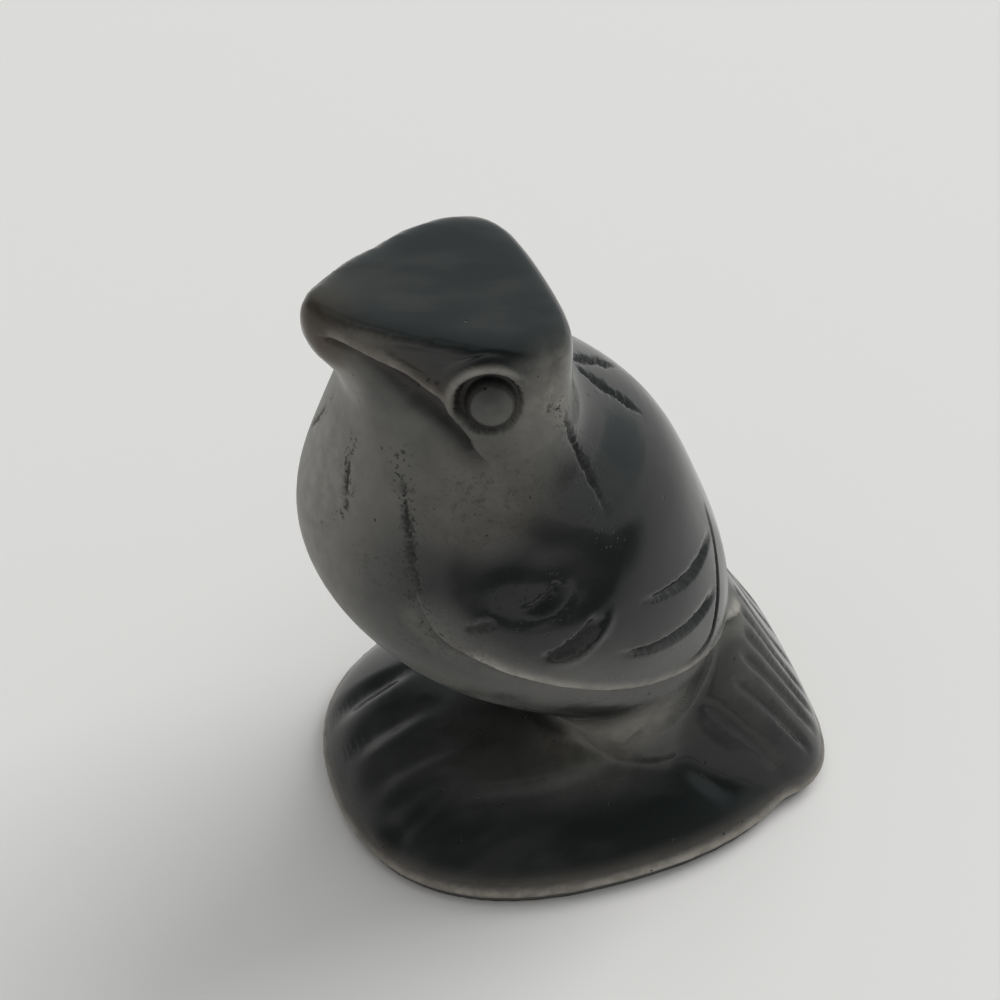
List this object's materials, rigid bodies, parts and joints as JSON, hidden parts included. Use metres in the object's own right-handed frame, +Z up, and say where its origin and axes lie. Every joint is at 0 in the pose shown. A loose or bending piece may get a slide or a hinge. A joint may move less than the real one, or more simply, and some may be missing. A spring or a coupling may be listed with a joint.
{
  "type": "carved bird figurine",
  "caption": "Perched bird with a flat tipped-up crown, folded wings and a fanned tail, carved with its rounded base from one block of dark glass.",
  "frame": {"origin": "middle of the underside's bounding box, on the floor", "axes": "+Z up, the bird faces -Y and its left side is +X"},
  "size_m": [0.0298, 0.039, 0.0521],
  "materials": {
    "obsidian": "near-black volcanic glass, satin polish, with dull cuts and a brown tint where it is thin"
  },
  "bodies": {
    "root": {"obsidian_bird": "obsidian"}
  },
  "joints": []
}
